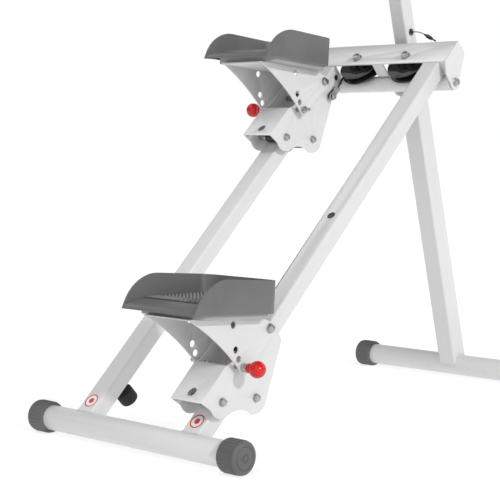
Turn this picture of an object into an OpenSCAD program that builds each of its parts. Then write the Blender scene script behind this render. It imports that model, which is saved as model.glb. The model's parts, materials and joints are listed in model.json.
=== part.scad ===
// Vertical climber: two foot carriages on inclined rails, tied by one cable over two pulleys.
// Millimetres, +Z up, +Y away from the user, origin on the floor under the middle.

/* [Base] */
// Distance between the front and rear base tube axes
base_span = 1083; // [900:1:1200]
// Overall length of each base tube with its caps
base_length = 570; // [450:1:700]
// Outside radius of the base tubes
base_r = 25; // [19:0.5:30]
// Height of the base tube axes above the floor
axle_z = 31; // [26:0.5:40]
// Radius of the ribbed end caps
cap_r = 32; // [27:0.5:40]
// Length of each end cap
cap_length = 44; // [30:1:70]

/* [Rails] */
// Incline of the two rails above the floor
rail_angle = 42.8; // [38:0.1:50]
// Distance from the middle plane to each rail
rail_x = 146; // [120:1:180]
// Width of a rail across the machine
rail_w = 45; // [38:0.5:60]
// Depth of a rail across its front face
rail_d = 36; // [30:0.5:45]
// Corner radius of the rail tube
rail_corner = 5.5; // [4:0.5:12]
// Tube wall
tube_wall = 2; // [1.5:0.1:3]
// Length of a rail along the slope to the underside of the crossbeam
rail_end = 1052; // [950:1:1150]

/* [Crossbeam] */
// Half length of the crossbeam with its end plates
beam_half = 186; // [175:1:220]
// Height of the beam face along the slope
beam_h = 68; // [50:1:90]
// Sheet thickness of the beam
beam_t = 3; // [2:0.5:5]
// Depth of the beam flanges behind the face
beam_depth = 38; // [30:1:50]
// Distance from the middle plane to each pulley axle
pulley_x = 68; // [55:0.5:80]
// Slope position of the pulley axles
pulley_u = 1074; // [1060:1:1100]
// Outside radius of a pulley
pulley_r = 51; // [35:0.5:52]
// Radius at which the cable lies on a pulley
pulley_groove_r = 38; // [25:0.5:45]
// Pulley thickness
pulley_t = 20; // [12:0.5:26]
// Radius of a pulley axle
pulley_axle_r = 5; // [4:0.5:8]
// Radius of the steel cable
cable_r = 2.5; // [1.5:0.1:4]
// Offset of the cable behind the rail middle plane
cable_v = -6; // [-12:0.5:2]

/* [Carriages] */
// Distance between the two carriages along the slope as drawn, and the full stroke
travel = 710; // [500:1:760]
// Half width of a carriage housing
housing_half = 40; // [34:0.5:50]
// Sheet thickness of the housing and the pedal bracket
sheet_t = 3; // [2:0.5:5]
// Radius of the two front rollers of a carriage
front_roller_r = 11; // [8:0.5:14]
// Radius of the rear roller of a carriage
rear_roller_r = 20; // [12:0.5:24]
// Width of the rollers
roller_w = 28; // [20:0.5:34]
// Radius of the roller axle bolts
axle_r = 4; // [3:0.5:6]
// Radial running clearance of every turning fit
run_gap = 0.04; // [0.01:0.01:0.1]
// Radial clearance of bolts in fixed holes
hole_gap = 0.02; // [0.01:0.01:0.1]

/* [Pedals] */
// Width of a pedal tray
tray_w = 186; // [140:1:220]
// Length of a pedal tray
tray_l = 226; // [180:1:320]
// Height of the guards above the tray underside
guard_h = 63; // [40:1:90]
// Wall thickness of the tray guards
guard_t = 4; // [3:0.5:7]
// Toe-down slope of the tray as drawn
tray_drop = 4.5; // [0:0.5:10]
// Half width of the steel bracket under the tray
bracket_half = 57; // [50:0.5:70]
// Distance from the tilt pivot to the row of lock holes
lock_radius = 99; // [80:1:115]
// Angle between neighbouring lock holes
lock_step = 11.5; // [8:0.5:15]
// Radius of the tilt pivot bolt
pivot_r = 5; // [4:0.5:8]
// Radius of the lock pin
pin_r = 4; // [3:0.5:5]
// Distance the lock pin pulls out
pin_pull = 22; // [18:1:30]

/* [Post and mast] */
// Lean of the rear post towards the user
post_lean = 15.2; // [10:0.1:20]
// Outside width of the square post
post_w = 48; // [40:1:60]
// Length of the post from the rear base axis
post_l = 800; // [740:1:860]
// Outside width of the square mast
mast_w = 38; // [30:1:44]
// Distance of the mast foot from the rear base axis
mast_foot = 560; // [480:1:620]
// Distance of the mast top from the rear base axis
mast_top = 1290; // [1150:1:1400]
// Radius of the fold tube
fold_tube_r = 18; // [14:0.5:22]
// Radius of the fold bolts
fold_bolt_r = 5; // [4:0.5:8]
// Slope position of the fold axis
fold_u = 1051; // [1040:1:1060]
// Offset of the fold axis behind the rail middle plane
fold_v = -40; // [-50:1:-36]

/* [Handlebar and console] */
// Radius of the handlebar tube
bar_r = 14; // [11:0.5:16]
// Half width of the handlebar between its bends
bar_half = 150; // [110:1:220]
// Bend radius of the handlebar
bar_bend = 60; // [40:1:90]
// Length of the straight end under each grip
grip_l = 135; // [110:1:180]
// Outside radius of the foam grips
grip_r = 18; // [16:0.5:22]

/* [Hidden] */
mid_shift = 24.15;
front_y = mid_shift - base_span / 2;
rear_y = mid_shift + base_span / 2;
front_v = rail_d / 2 + front_roller_r;
rear_v = -rail_d / 2 - rear_roller_r;
lower_roller = [88, front_v];
upper_roller = [218, front_v];
rear_roller = [152.5, rear_v];
cable_lug = [262, cable_v];
tilt_pivot = [257, 44];
tray_turn = rail_angle + tray_drop;
tray_heel = -242;
tray_toe = tray_heel + tray_l;
plate_top = 21;
cable_x = pulley_x + pulley_groove_r;
lug_x = 101.5;
cable_local = lug_x - rail_x;
cable_start = 312;
mast_gap = 0.3;
deck = 48;
deck_rise = 9.5;
face_v = 20;
console_y = 24;
lead_r = 1.1;
lead_route = [[-3, 0], [0, 0], [5, 0], [10, 0], [15, -0.3], [20, -1], [25, -2.1], [30, -3.7], [34, -5.4], [38, -7.4]];
$fn = 72;

// ---- placing ----
// rail frame: x across, y up the slope, z out of the rail faces towards the user
module on_rail(x = 0) {
    translate([x, front_y, axle_z]) rotate([rail_angle, 0, 0]) children();
}

// carriage frame, mirrored for the left side and raised by the stroke
module on_carriage(side) {
    if (side > 0) on_rail(rail_x) children();
    else mirror([1, 0, 0]) on_rail(rail_x) translate([0, travel, 0]) children();
}

// pedal frame: y towards the toe, z out of the tray
module on_pedal(side) {
    on_carriage(side) translate([0, tilt_pivot.x, tilt_pivot.y]) rotate([-tray_turn, 0, 0]) children();
}

// post frame: z up the post, y backwards
module on_post() {
    translate([0, rear_y, axle_z]) rotate([post_lean, 0, 0]) children();
}

// bar head frame at the mast top
module on_bar() {
    on_post() translate([0, 0, mast_top]) rotate([-post_lean, 0, 0]) children();
}

// ---- shapes ----
// plate drawn in (along, out) and extruded across the machine
module across(x0, t) {
    translate([x0, 0, 0]) rotate([90, 0, 90]) linear_extrude(t) children();
}

module rod(x0, x1, r, p) {
    translate([x0, p.x, p.y]) rotate([0, 90, 0]) cylinder(h = x1 - x0, r = r);
}

module hexagon(x0, t, r, p) {
    translate([x0, p.x, p.y]) rotate([0, 90, 0]) cylinder(h = t, r = r, $fn = 6);
}

function unit_at(a) = [cos(a), sin(a)];

// flat web between two round bosses, its edges a hair inside their tangents
module web(a, ra, b, rb) {
    d = norm(b - a);
    f = atan2(b.y - a.y, b.x - a.x);
    g = acos((ra - rb) / d);
    polygon([a + (ra - 0.06) * unit_at(f + g), b + (rb - 0.06) * unit_at(f + g),
        b + (rb - 0.06) * unit_at(f - g), a + (ra - 0.06) * unit_at(f - g)]);
}

module boss(p, r) { translate(p) circle(r = r); }

// outline round two circles
module belt(a, ra, b, rb) {
    boss(a, ra);
    boss(b, rb);
    web(a, ra, b, rb);
}

module rounded(w, d, r) {
    square([w - 2 * r, d], center = true);
    square([w, d - 2 * r], center = true);
    for (sx = [-1, 1], sy = [-1, 1]) translate([sx * (w / 2 - r), sy * (d / 2 - r)]) circle(r = r, $fn = 48);
}

module steel() { color([0.93, 0.93, 0.93]) children(); }
module zinc() { color([0.72, 0.72, 0.74]) children(); }
module black() { color([0.08, 0.08, 0.08]) children(); }
module grey() { color([0.3, 0.3, 0.31]) children(); }
module red() { color([0.8, 0.08, 0.05]) children(); }

// ---- bases ----
module base_tube(y) {
    half = base_length / 2 - 4;
    translate([-half, y, axle_z]) rotate([0, 90, 0]) difference() {
        cylinder(h = 2 * half, r = base_r);
        translate([0, 0, -1]) cylinder(h = 2 * half + 2, r = base_r - tube_wall);
    }
}

module base_caps(y) {
    for (s = [0, 1]) mirror([s, 0, 0]) difference() {
        translate([base_length / 2 - cap_length, y, axle_z]) rotate([0, 90, 0]) difference() {
            cylinder(h = cap_length, r = cap_r);
            translate([0, 0, -1]) cylinder(h = cap_length - 3, r = base_r);
        }
        translate([0, y - 50, -20]) cube([base_length, 100, 20]);
    }
}

module front_base() { steel() base_tube(front_y); }
module rear_base() { steel() base_tube(rear_y); }
module front_base_caps() { grey() base_caps(front_y); }
module rear_base_caps() { grey() base_caps(rear_y); }

// ---- rails ----
module rail(side) {
    steel() on_rail(side * rail_x) difference() {
        translate([0, rail_end, 0]) rotate([90, 0, 0]) linear_extrude(rail_end) difference() {
            rounded(rail_w, rail_d, rail_corner);
            rounded(rail_w - 2 * tube_wall, rail_d - 2 * tube_wall, rail_corner - tube_wall);
        }
        translate([-40, 0, 0]) rotate([0, 90, 0]) cylinder(h = 80, r = base_r);
        if (side > 0) translate([0, 578, rail_d / 2 - 5]) cylinder(h = 10, r = 9, $fn = 48);
        if (side < 0) translate([rail_w / 2 - 5, 1038, -5]) rotate([0, 90, 0]) cylinder(h = 10, r = 5, $fn = 48);
    }
}

module left_rail() { rail(-1); }
module right_rail() { rail(1); }

module rail_sensor() {
    black() on_rail(rail_x) translate([0, 578, rail_d / 2 - 12]) {
        cylinder(h = 12, r = 9 - hole_gap, $fn = 48);
    }
}

module rail_plug() {
    black() on_rail(-rail_x) translate([rail_w / 2 - 6, 1038, -5]) rotate([0, 90, 0]) {
        cylinder(h = 6.6, r = 5 - hole_gap, $fn = 48);
        translate([0, 0, 6]) cylinder(h = 1.2, r = 6.5, $fn = 48);
    }
}

module rail_labels() {
    red() for (s = [-1, 1]) on_rail(s * rail_x) translate([0, 45, rail_d / 2]) cylinder(h = 0.25, r = 16.5);
}

module bumper_stub() {
    zinc() on_rail(-rail_x) translate([0, 112, -rail_d / 2 - 14]) cylinder(h = 14, r = 7);
}

module bumper() {
    black() on_rail(-rail_x) translate([0, 112, -rail_d / 2 - 44]) cylinder(h = 30, r = 19);
}

// ---- crossbeam ----
module crossbeam() {
    half = beam_half - beam_t;
    top = rail_end + beam_h;
    back = face_v - beam_depth;
    steel() on_rail() difference() {
        union() {
            translate([-half, rail_end, face_v - beam_t]) cube([2 * half, beam_h, beam_t]);
            translate([-half, rail_end, back]) cube([2 * half, beam_t, beam_depth]);
            translate([-half, top - beam_t, back]) cube([2 * half, beam_t, beam_depth]);
        }
        for (s = [-1, 1]) {
            translate([s > 0 ? 15 : -122, rail_end - 1, back - 1]) cube([107, beam_t + 2, beam_depth + 1 - beam_t]);
            translate([s > 0 ? 15 : -122, top - beam_t - 1, back - 1]) cube([107, beam_t + 2, beam_depth + 1 - beam_t]);
            translate([s * pulley_x, pulley_u, 0]) cylinder(h = 30, r = pulley_axle_r + hole_gap);
        }
    }
}

module beam_end_plates() {
    top = rail_end + beam_h;
    fold = [fold_u, fold_v];
    steel() for (s = [0, 1]) mirror([s, 0, 0]) on_rail() across(beam_half - beam_t, beam_t) difference() {
        union() {
            boss(fold, 17);
            polygon([[rail_end, face_v], [top, face_v], [top + 2, -16], [fold_u + 15, fold_v - 7], [fold_u, fold_v],
                [fold_u - 15.5, fold_v + 6], [fold_u - 15, -4]]);
        }
        translate(fold) circle(r = fold_bolt_r + hole_gap);
    }
}

module pulley_axles() {
    zinc() on_rail() for (s = [-1, 1]) translate([s * pulley_x, pulley_u, 0]) {
        translate([0, 0, cable_v - pulley_t / 2 - 6]) cylinder(h = face_v + pulley_t / 2 + 6 - cable_v, r = pulley_axle_r);
        translate([0, 0, face_v]) cylinder(h = 1.6, r = 11.5);
        translate([0, 0, face_v + 1.6]) cylinder(h = 7, r = 9.2, $fn = 6);
        translate([0, 0, cable_v - pulley_t / 2 - 5.5]) cylinder(h = 5, r = 8.5, $fn = 6);
        translate([0, 0, cable_v + pulley_t / 2 + 0.5]) cylinder(h = face_v - beam_t - cable_v - pulley_t / 2 - 0.5, r = 9);
    }
}

module pulley(s) {
    black() on_rail() translate([s * pulley_x, pulley_u, cable_v]) rotate_extrude($fn = 96) difference() {
        translate([pulley_axle_r + run_gap, -pulley_t / 2]) square([pulley_r - pulley_axle_r - run_gap, pulley_t]);
        translate([pulley_groove_r, 0]) circle(r = cable_r + 0.5, $fn = 32);
        polygon([[pulley_groove_r, -cable_r - 0.5], [pulley_r + 1, -pulley_t / 2 + 2.5],
            [pulley_r + 1, pulley_t / 2 - 2.5], [pulley_groove_r, cable_r + 0.5]]);
        translate([14, pulley_t / 2 - 4]) square([14, 10]);
        translate([14, -pulley_t / 2 - 6]) square([14, 10]);
    }
}

module left_pulley() { pulley(-1); }
module right_pulley() { pulley(1); }

// ---- cable ----
module cable_middle() {
    top = pulley_u + pulley_groove_r;
    black() on_rail() {
        translate([-pulley_x, top, cable_v]) rotate([0, 90, 0]) cylinder(h = 2 * pulley_x, r = cable_r, $fn = 32);
        translate([pulley_x, pulley_u, cable_v]) rotate_extrude(angle = 90, $fn = 96) translate([pulley_groove_r, 0])
            circle(r = cable_r, $fn = 32);
        translate([-pulley_x, pulley_u, cable_v]) rotate([0, 0, 90]) rotate_extrude(angle = 90, $fn = 96)
            translate([pulley_groove_r, 0]) circle(r = cable_r, $fn = 32);
    }
}

// straight run from a pulley down to the clevis of a carriage
module cable_run(s, u0) {
    drop = pulley_u - u0;
    inward = cable_x - lug_x;
    black() on_rail() translate([s * cable_x, pulley_u, cable_v]) rotate([0, 0, -s * atan(inward / drop)])
        rotate([90, 0, 0]) translate([0, 0, 0.3]) cylinder(h = norm([drop, inward]) - 0.3, r = cable_r, $fn = 32);
}

module cable_left() { cable_run(-1, cable_start + travel); }
module cable_right() { cable_run(1, cable_start); }

// ---- rear frame ----
module fold_tube() {
    end = beam_half - beam_t - 3;
    steel() on_rail() difference() {
        rod(-end, end, fold_tube_r, [fold_u, fold_v]);
        rod(-end + 30, end - 30, fold_tube_r - tube_wall, [fold_u, fold_v]);
        rod(-end - 1, end + 1, fold_bolt_r + run_gap, [fold_u, fold_v]);
    }
}

module fold_bolts() {
    p = [fold_u, fold_v];
    zinc() for (s = [0, 1]) mirror([s, 0, 0]) on_rail() {
        rod(beam_half - 32, beam_half, fold_bolt_r, p);
        rod(beam_half, beam_half + 1.6, 9.5, p);
        hexagon(beam_half + 1.6, 6, 8, p);
        rod(beam_half - beam_t - 2.7, beam_half - beam_t, 8, p);
    }
}

// fold axis seen from the post frame: up the post, forward of its axis
fold_dy = fold_u * cos(rail_angle) - fold_v * sin(rail_angle) - base_span;
fold_dz = fold_u * sin(rail_angle) + fold_v * cos(rail_angle);
fold_up = fold_dz * cos(post_lean) - fold_dy * sin(post_lean);
fold_out = fold_dz * sin(post_lean) + fold_dy * cos(post_lean);

module fold_bracket() {
    steel() on_post() difference() {
        for (x = [-22, 18]) translate([x, 0, 0]) rotate([90, 0, 90]) linear_extrude(4) difference() {
            polygon([[-post_w / 2, fold_up - 46], [-post_w / 2, fold_up + 26], [fold_out, fold_up + 17],
                [fold_out, fold_up - 17]]);
            translate([fold_out + 20, fold_up - 60]) circle(r = 42, $fn = 96);
        }
        translate([-40, fold_out, fold_up]) rotate([0, 90, 0]) cylinder(h = 80, r = fold_tube_r);
    }
}

module post() {
    steel() on_post() difference() {
        linear_extrude(post_l) difference() {
            rounded(post_w, post_w, 5);
            rounded(post_w - 2 * tube_wall, post_w - 2 * tube_wall, 3);
        }
        translate([-40, 0, 0]) rotate([0, 90, 0]) cylinder(h = 80, r = base_r);
        translate([0, post_w / 2 - 5, post_l - 60]) rotate([-90, 0, 0]) cylinder(h = 10, r = 5);
    }
}

module open_stop() {
    black() on_post() translate([-14, -post_w / 2 - 19, post_l - 26]) cube([28, 19, 18]);
}

// plastic guide that fills the gap between the post and the mast
module mast_guide() {
    inner = mast_w + 2 * mast_gap;
    outer = post_w - 2 * tube_wall;
    black() on_post() difference() {
        union() {
            translate([0, 0, post_l - 40]) linear_extrude(40) rounded(outer, outer, 3);
            translate([0, 0, post_l]) linear_extrude(2) rounded(post_w, post_w, 5);
        }
        translate([0, 0, post_l - 41]) linear_extrude(44) rounded(inner, inner, 4.3);
    }
}

module mast_knob() {
    black() on_post() translate([0, 0, post_l - 60]) rotate([-90, 0, 0]) {
        translate([0, 0, mast_w / 2 + 0.5]) cylinder(h = 24, r = 5 - hole_gap);
        translate([0, 0, post_w / 2]) cylinder(h = 10, r = 9);
        translate([0, 0, post_w / 2 + 10]) cylinder(h = 18, r = 19);
    }
}

// ---- mast ----
module mast() {
    steel() on_post() translate([0, 0, mast_foot]) difference() {
        linear_extrude(mast_top - mast_foot) difference() {
            rounded(mast_w, mast_w, 4);
            rounded(mast_w - 2 * tube_wall, mast_w - 2 * tube_wall, 2);
        }
        translate([0, 0, 835 - mast_foot]) rotate([0, 90, 0]) cylinder(h = 40, r = 6);
        translate([-40, 0, mast_top - mast_foot]) rotate([0, 90, 0]) cylinder(h = 80, r = bar_r);
    }
}

module lead_grommet() {
    black() on_post() translate([mast_w / 2, 0, 835]) rotate([0, 90, 0]) difference() {
        union() {
            translate([0, 0, -3]) cylinder(h = 3, r = 6 - hole_gap);
            cylinder(h = 1.8, r = 8);
        }
        translate([0, 0, -4]) cylinder(h = 8, r = 1.15, $fn = 24);
    }
}

// lead leaves the grommet level, and drops as it goes across
module on_lead() {
    on_post() translate([mast_w / 2, 0, 835]) rotate([-post_lean, 0, 0]) rotate([90, 0, 0]) children();
}

function lead_way(i) = let (a = lead_route[max(i - 1, 0)], b = lead_route[min(i + 1, len(lead_route) - 1)])
    (b - a) / norm(b - a);
function lead_ring(i) = let (w = lead_way(i), p = lead_route[i])
    [for (a = [0:45:315]) [p.x - w.y * lead_r * cos(a), p.y + w.x * lead_r * cos(a), lead_r * sin(a)]];

module sensor_lead() {
    n = len(lead_route);
    black() on_lead() polyhedron(
        points = [for (i = [0:n - 1]) each lead_ring(i)],
        faces = concat(
            [[for (k = [0:7]) k]],
            [for (i = [0:n - 2]) for (k = [0:7]) [8 * i + k, 8 * i + 8 + k, 8 * i + 8 + (k + 1) % 8]],
            [for (i = [0:n - 2]) for (k = [0:7]) [8 * i + k, 8 * i + 8 + (k + 1) % 8, 8 * i + (k + 1) % 8]],
            [[for (k = [7:-1:0]) 8 * (n - 1) + k]]));
}

module lead_plug() {
    black() on_lead() translate([38, -7.4, 0]) rotate([0, 0, -28]) rotate([0, 90, 0]) {
        cylinder(h = 7, r = 2.5, $fn = 32);
        translate([0, 0, 7]) cylinder(h = 14, r = 4.4, $fn = 32);
        translate([0, 0, 21]) cylinder(h = 3, r = 3.2, $fn = 32);
        translate([0, 0, 24]) cylinder(h = 11, r = 1.8, $fn = 32);
    }
}

module bar_path(r) {
    for (s = [0, 1]) mirror([s, 0, 0]) {
        rotate([0, 90, 0]) cylinder(h = bar_half, r = r);
        translate([bar_half, -bar_bend, 0]) rotate_extrude(angle = 90, $fn = 96) translate([bar_bend, 0]) circle(r = r);
        translate([bar_half + bar_bend, -bar_bend, 0]) rotate([90, 0, 0]) cylinder(h = grip_l, r = r);
    }
}

module handlebar() {
    steel() on_bar() difference() {
        bar_path(bar_r);
        for (s = [0, 1]) mirror([s, 0, 0]) translate([bar_half + bar_bend, -bar_bend, 0])
            rotate([90, 0, 0]) cylinder(h = grip_l + 1, r = bar_r - tube_wall);
    }
}

module grip(s) {
    black() on_bar() translate([s * (bar_half + bar_bend), -bar_bend - 6, 0]) rotate([90, 0, 0]) difference() {
        cylinder(h = grip_l - 8, r = grip_r);
        translate([0, 0, -1]) cylinder(h = grip_l, r = bar_r);
    }
}

module left_grip() { grip(-1); }
module right_grip() { grip(1); }

module bar_plugs() {
    black() on_bar() for (s = [-1, 1]) translate([s * (bar_half + bar_bend), -bar_bend - grip_l, 0]) rotate([90, 0, 0]) {
        translate([0, 0, -14]) cylinder(h = 14, r = bar_r - tube_wall);
        cylinder(h = 4, r = grip_r - 1);
    }
}

// ---- console ----
module on_console() {
    on_bar() translate([0, console_y, 62]) rotate([52, 0, 0]) children();
}

module console_bracket() {
    steel() on_bar() difference() {
        union() {
            translate([-15, 10, 4]) cube([30, 5, 34.5]);
            translate([0, console_y, 62]) rotate([52, 0, 0]) translate([-16, -28, -6]) cube([32, 52, 3]);
        }
        rotate([0, 90, 0]) translate([0, 0, -60]) cylinder(h = 120, r = bar_r);
    }
}

module console() {
    grey() on_console() translate([0, 0, -3]) difference() {
        linear_extrude(24) rounded(118, 78, 12);
        translate([0, 7, 22]) linear_extrude(3) rounded(92, 44, 4);
        translate([0, -28, 14]) cylinder(h = 12, r = 6.3, $fn = 48);
    }
}

module console_screen() {
    black() on_console() translate([0, 7, 19]) linear_extrude(1.6) rounded(92 - 2 * hole_gap, 44 - 2 * hole_gap, 4);
}

module console_button() {
    red() on_console() translate([0, -28, 13]) cylinder(h = 9.5, r = 6, $fn = 48);
}

// ---- carriages ----
// outline of the carriage, before its holes
module housing_body() {
    w = 2 * housing_half;
    across(-housing_half, w) difference() {
        belt(lower_roller, 31, rear_roller, 31);
        translate([62.4, -60]) circle(r = 61.5, $fn = 144);
    }
    across(-housing_half, w) belt(rear_roller, 31, [262, -2], 17);
    across(-housing_half, w) belt([262, -2], 17, tilt_pivot, 16);
    across(-housing_half, w) belt(tilt_pivot, 16, [158, 46], 15);
    across(-housing_half, w) polygon([[52, 70], [138, 70], [165, 58], [251, 47], [256, -1],
        [150, -31], [125, -4], [95, 18], [60, 35]]);
}

// folded sheet channel: two side plates joined by a short front
module housing(side) {
    steel() on_carriage(side) difference() {
        housing_body();
        translate([-housing_half + sheet_t, 0, -200]) cube([2 * (housing_half - sheet_t), 400, 270 - sheet_t]);
        translate([0, 74, 60]) cylinder(h = 20, r = 10);
        across(-60, 60) boss(cable_lug, 4 + hole_gap);
        across(-60, 120) {
            for (p = [lower_roller, upper_roller, rear_roller]) boss(p, axle_r + hole_gap);
            boss(tilt_pivot, pivot_r + run_gap);
            boss(tilt_pivot + lock_radius * unit_at(225 - tray_turn), pin_r + 0.5);
        }
    }
}

module axles(side) {
    zinc() on_carriage(side) for (p = [lower_roller, upper_roller, rear_roller]) {
        rod(-housing_half, housing_half, axle_r, p);
        for (s = [0, 1]) mirror([s, 0, 0]) {
            rod(roller_w / 2 + 0.4, housing_half - sheet_t, 6.5, p);
            rod(housing_half, housing_half + 1.4, 8.5, p);
            hexagon(housing_half + 1.4, 5.4, 7, p);
        }
    }
}

module roller(side, p, r) {
    black() on_carriage(side) difference() {
        rod(-roller_w / 2, roller_w / 2, r, p);
        rod(-roller_w, roller_w, axle_r + run_gap, p);
    }
}

module cable_lug_parts(side) {
    x = cable_local;
    zinc() on_carriage(side) {
        rod(x - 9, -housing_half + sheet_t, 4, cable_lug);
        hexagon(x - 13, 4.5, 7, cable_lug);
        for (dx = [-7.2, 1.2]) across(x + dx, 3) belt(cable_lug, 8.5, [cable_lug.x + 28, cable_v], 6);
        rod(x - 8.2, x + 4.2, 3, [cable_lug.x + 28, cable_v]);
        translate([x, cable_lug.x + 20, cable_v]) rotate([-90, 0, 0]) cylinder(h = 30, r = 4.2, $fn = 32);
    }
}

module left_housing() { housing(-1); }
module right_housing() { housing(1); }
module left_axles() { axles(-1); }
module right_axles() { axles(1); }
module left_cable_lug() { cable_lug_parts(-1); }
module right_cable_lug() { cable_lug_parts(1); }
module left_lower_roller() { roller(-1, lower_roller, front_roller_r - 0.05); }
module right_lower_roller() { roller(1, lower_roller, front_roller_r - 0.05); }
module left_upper_roller() { roller(-1, upper_roller, front_roller_r - 0.05); }
module right_upper_roller() { roller(1, upper_roller, front_roller_r - 0.05); }
module left_rear_roller() { roller(-1, rear_roller, rear_roller_r - 0.05); }
module right_rear_roller() { roller(1, rear_roller, rear_roller_r - 0.05); }

// ---- pedals ----
function lock_hole(i) = lock_radius * unit_at(225 - i * lock_step);

module bracket_plate() {
    pin = lock_hole(0);
    difference() {
        union() {
            belt(pin, 15, [0, 0], 14);
            polygon([[-222, plate_top], [-222, 17], [-84, -83], [-70, -70], [0, 0], [6, 12], [-30, plate_top]]);
        }
        translate([-431, -450]) circle(r = 515, $fn = 360);
        for (i = [0, 1, 2]) translate(lock_hole(i)) circle(r = pin_r + (i == 0 ? 0.5 : 2.9), $fn = 48);
        translate([-102, 9]) circle(r = 7, $fn = 48);
        circle(r = pivot_r + hole_gap, $fn = 48);
    }
}

module bracket(side) {
    steel() on_pedal(side) {
        across(-bracket_half, sheet_t) bracket_plate();
        across(bracket_half - sheet_t, sheet_t) bracket_plate();
        translate([-bracket_half, -220, plate_top - sheet_t]) cube([2 * bracket_half, 188, sheet_t]);
    }
}

module pivot_bolts(side) {
    zinc() on_pedal(side) {
        rod(-bracket_half, bracket_half, pivot_r, [0, 0]);
        for (s = [0, 1]) mirror([s, 0, 0]) {
            rod(bracket_half, bracket_half + 1.5, 10, [0, 0]);
            hexagon(bracket_half + 1.5, 5.5, 8, [0, 0]);
            rod(housing_half + 0.4, bracket_half - sheet_t, 8, [0, 0]);
        }
        // fixed stud of the inner side
        rod(-bracket_half - 18, -housing_half - 0.4, pin_r, lock_hole(0));
        hexagon(-bracket_half - 7, 7, 8, lock_hole(0));
        // guide sleeve of the pull pin
        difference() {
            rod(bracket_half, bracket_half + 12, 8, lock_hole(0));
            rod(bracket_half - 1, bracket_half + 13, pin_r + run_gap, lock_hole(0));
        }
    }
}

// plan of a tray: square heel, round toe corners
module tray_outline(grow) {
    w = tray_w + 2 * grow;
    l = tray_l + 2 * grow;
    c = (tray_heel + tray_toe) / 2;
    r = 27;
    translate([0, c]) {
        translate([0, -l / 2 + 20]) square([w, 40], center = true);
        square([w, l - 2 * r], center = true);
        square([w - 2 * r, l], center = true);
        for (s = [-1, 1]) translate([s * (w / 2 - r), l / 2 - r]) circle(r = r, $fn = 96);
    }
}

// side view of the guards: a rising curve from the heel edge, nearly level from mid foot
module guard_side() {
    rise = [[0, 0], [4, 10], [9, 21], [15.5, 31], [23, 39.5], [31, 46.5], [40, 52.5], [50, 57.8], [61, 62], [72, 64.6],
        [84, 65.5]];
    top = plate_top + 8 + rise[10].y;
    polygon(concat([for (p = rise) [tray_heel + p.x, plate_top + 8 + p.y]],
        [[tray_toe + 1, top - 2], [tray_toe + 1, 31], [tray_heel + 26, 31], [tray_heel + 3, plate_top + 8]]));
}

// height of the deck at a distance along it
function deck_at(y) = deck + deck_rise * (y - tray_heel - 46) / (tray_l - 46);

// side view of the deck: a gentle rise to the toe, rolled down to the heel edge
module deck_side() {
    polygon([[tray_heel, 29], [tray_heel + 1, 32], [tray_heel + 6, 37], [tray_heel + 14, 41.6], [tray_heel + 24, 44.9],
        [tray_heel + 34, 46.7], [tray_heel + 46, deck], [tray_toe - 1, deck_at(tray_toe - 1)],
        [tray_toe - 1, deck_at(tray_toe - 1) - 4], [tray_heel + 46, deck - 4], [tray_heel + 34, 42.7],
        [tray_heel + 24, 40.9], [tray_heel + 14, 37.6], [tray_heel + 6, 32.5], [tray_heel + 3, 29]]);
}

module tray(side) {
    grey() on_pedal(side) {
        // guards
        intersection() {
            difference() {
                translate([0, 0, 20]) linear_extrude(90) tray_outline(0);
                translate([0, 0, 15]) linear_extrude(100) tray_outline(-guard_t);
                translate([-tray_w / 2 + guard_t, tray_heel - 10, 15]) cube([tray_w - 2 * guard_t, 40, 100]);
            }
            across(-tray_w, 2 * tray_w) guard_side();
        }
        // deck
        intersection() {
            translate([0, 0, 20]) linear_extrude(90) tray_outline(-1);
            across(-tray_w, 2 * tray_w) deck_side();
        }
        // pedestal between the deck and the bracket
        intersection() {
            translate([0, (tray_heel + tray_toe) / 2 + 10, plate_top]) linear_extrude(50)
                rounded(tray_w - 20, tray_l - 46, 14);
            across(-tray_w, 2 * tray_w) polygon([[tray_heel + 20, plate_top], [tray_heel + 20, 42.3],
                [tray_heel + 34, 44.7], [tray_heel + 46, deck - 2], [tray_toe, deck_at(tray_toe) - 2],
                [tray_toe, plate_top]]);
        }
    }
}

module tread(side) {
    heel = tray_heel + 50;
    toe = tray_toe;
    black() on_pedal(side) intersection() {
        translate([0, 0, 30]) linear_extrude(60) tray_outline(-guard_t - 1);
        across(-tray_w, 2 * tray_w) polygon([[heel, deck_at(heel)], [toe, deck_at(toe)], [toe, deck_at(toe) + 2],
            [heel, deck_at(heel) + 2]]);
    }
}

module pin(side) {
    p = lock_hole(0);
    red() on_pedal(side) {
        rod(housing_half + 0.4, bracket_half + 30, pin_r, p);
        rod(bracket_half + 12.5, bracket_half + 22, 9, p);
        translate([bracket_half + 35.5, p.x, p.y]) sphere(r = 16.2, $fn = 48);
    }
}

module left_bracket() { bracket(-1); }
module right_bracket() { bracket(1); }
module left_pivot_bolts() { pivot_bolts(-1); }
module right_pivot_bolts() { pivot_bolts(1); }
module left_tray() { tray(-1); }
module right_tray() { tray(1); }
module left_tread() { tread(-1); }
module right_tread() { tread(1); }
module left_pin() { pin(-1); }
module right_pin() { pin(1); }

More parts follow.
